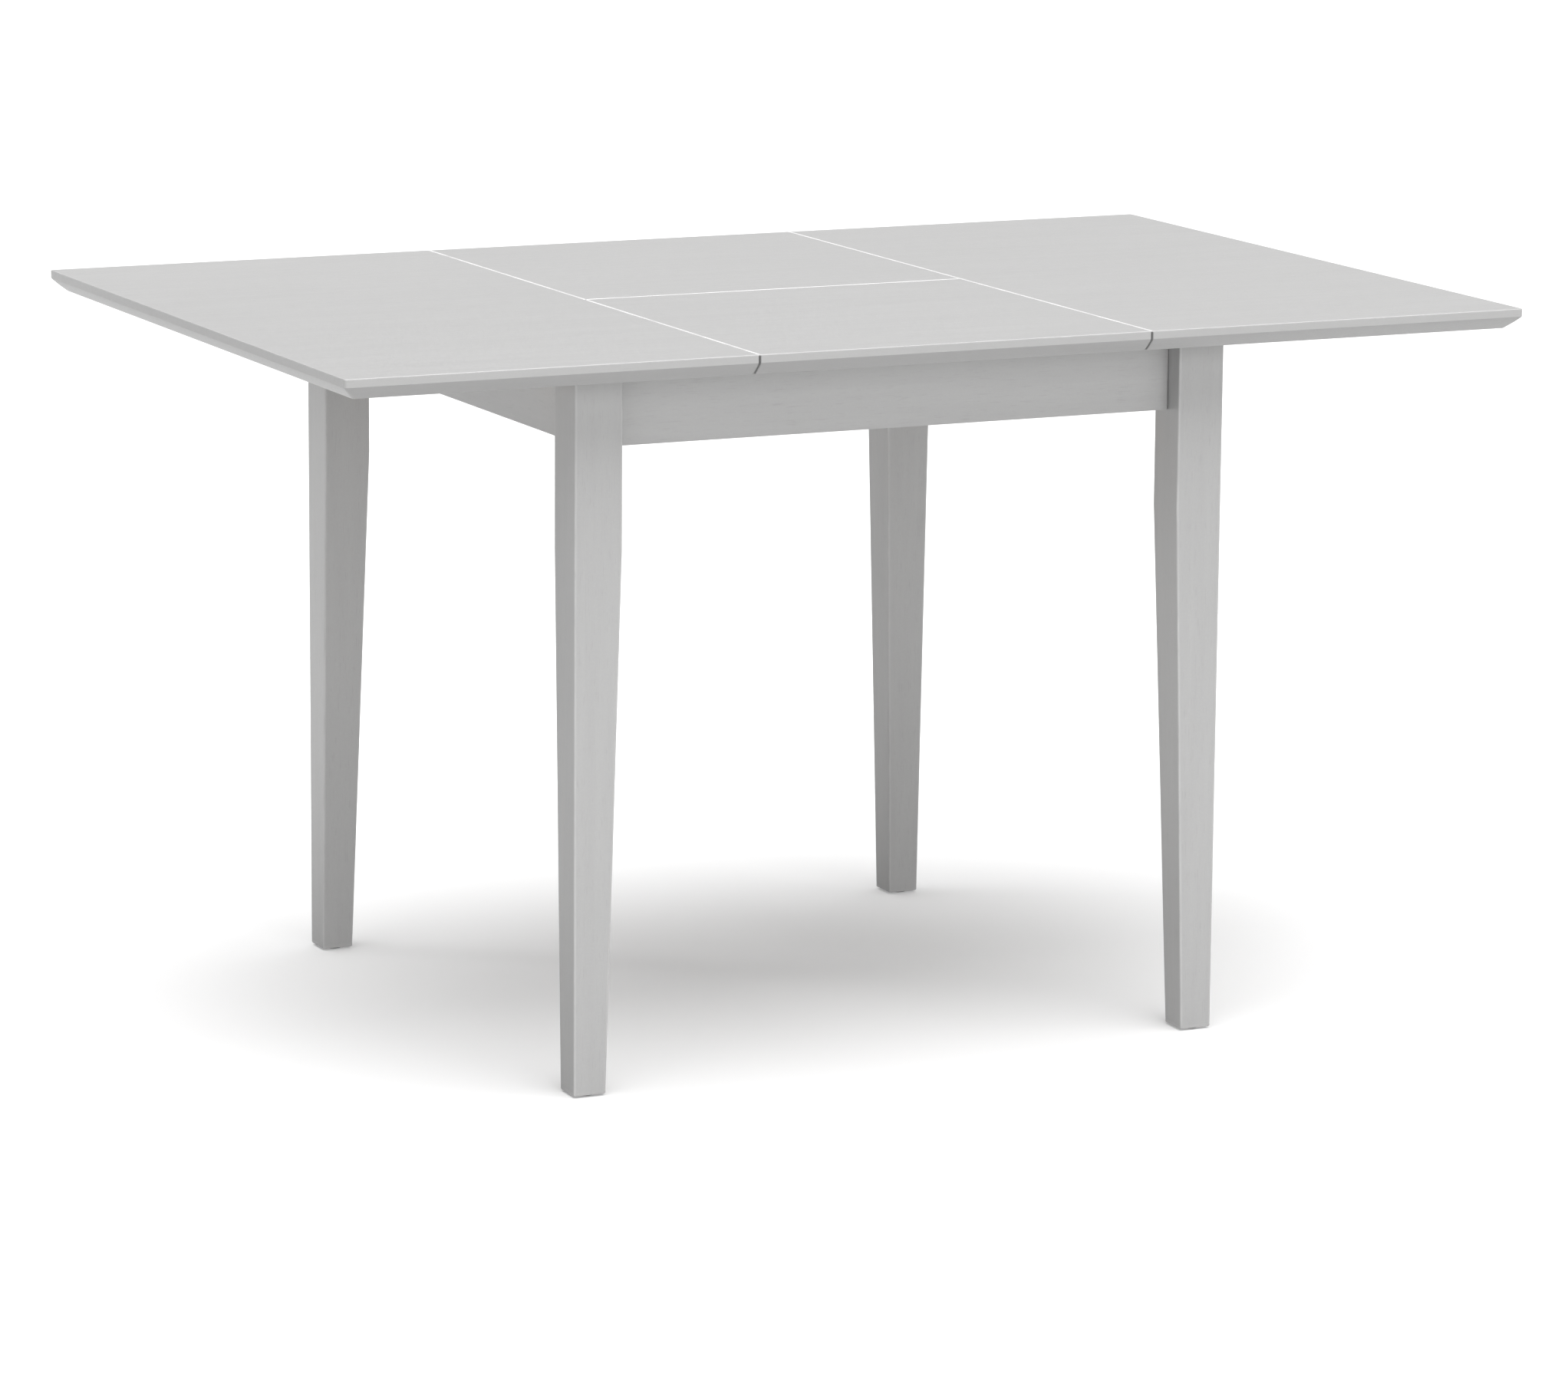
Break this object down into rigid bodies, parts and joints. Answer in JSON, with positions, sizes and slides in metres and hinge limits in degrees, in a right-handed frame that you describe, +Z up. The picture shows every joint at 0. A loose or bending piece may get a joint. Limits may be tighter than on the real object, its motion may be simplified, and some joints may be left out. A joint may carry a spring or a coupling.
{
  "type": "extending dining table",
  "caption": "Rectangular extending dining table: square tapered legs, aprons, two sliding top halves and a folding centre leaf.",
  "frame": {"origin": "on the floor under the middle of the extended tabletop", "axes": "+X along the length towards the right half of the top, +Y from the front edge to the rear edge, +Z up"},
  "size_m": [1.35, 0.885, 0.775],
  "materials": {
    "top_paint": "pale grey lacquered wood, satin, with fine open grain",
    "frame_paint": "pale grey lacquered wood, satin",
    "beech": "bare planed beech",
    "steel": "zinc plated",
    "brass": "satin",
    "glide_plastic": "moulded"
  },
  "bodies": {
    "frame": {"leg_front_left": "frame_paint", "leg_front_right": "frame_paint", "leg_rear_left": "frame_paint", "leg_rear_right": "frame_paint", "apron_front": "frame_paint", "apron_rear": "frame_paint", "apron_left": "frame_paint", "apron_right": "frame_paint", "corner_block_front_left": "beech", "corner_block_front_right": "beech", "corner_block_rear_left": "beech", "corner_block_rear_right": "beech", "hanger_bolt_front_left": "steel", "hanger_bolt_front_right": "steel", "hanger_bolt_rear_left": "steel", "hanger_bolt_rear_right": "steel", "hanger_nut_front_left": "steel", "hanger_nut_front_right": "steel", "hanger_nut_rear_left": "steel", "hanger_nut_rear_right": "steel", "foot_glide_front_left": "glide_plastic", "foot_glide_front_right": "glide_plastic", "foot_glide_rear_left": "glide_plastic", "foot_glide_rear_right": "glide_plastic", "guide_beam_front": "beech", "guide_beam_rear": "beech", "leaf_storage_rail_left": "beech", "leaf_storage_rail_right": "beech"},
    "top_left": {"tabletop_left": "top_paint", "runner_left_front": "beech", "stop_peg_left_front": "steel", "leaf_plate_left_front": "steel", "plate_screw_left_front_1": "steel", "plate_screw_left_front_2": "steel", "runner_left_rear": "beech", "stop_peg_left_rear": "steel", "leaf_plate_left_rear": "steel", "plate_screw_left_rear_1": "steel", "plate_screw_left_rear_2": "steel"},
    "top_right": {"tabletop_right": "top_paint", "runner_right_front": "beech", "stop_peg_right_front": "steel", "leaf_plate_right_front": "steel", "plate_screw_right_front_1": "steel", "plate_screw_right_front_2": "steel", "runner_right_rear": "beech", "stop_peg_right_rear": "steel", "leaf_plate_right_rear": "steel", "plate_screw_right_rear_1": "steel", "plate_screw_right_rear_2": "steel"},
    "leaf_front": {"leaf_panel_front": "top_paint", "leaf_hinge_front_left": "brass", "leaf_hinge_front_right": "brass"},
    "leaf_rear": {"leaf_panel_rear": "top_paint", "leaf_hinge_rear_left": "brass", "leaf_hinge_rear_right": "brass"}
  },
  "joints": [
    {"name": "left_half_slide", "type": "slide", "parent": "frame", "child": "top_left", "axis": [-1, 0, 0], "range_m": [0, 0.08]},
    {"name": "right_half_slide", "type": "slide", "parent": "frame", "child": "top_right", "axis": [1, 0, 0], "range_m": [0, 0.03]},
    {"name": "leaf_lift", "type": "slide", "parent": "frame", "child": "leaf_front", "axis": [0, 0, 1], "range_m": [0, 0.2]},
    {"name": "leaf_fold", "type": "hinge", "parent": "leaf_front", "child": "leaf_rear", "pos_m": [0, 0, 0.7753], "axis": [1, 0, 0], "range_deg": [0, 180]}
  ]
}
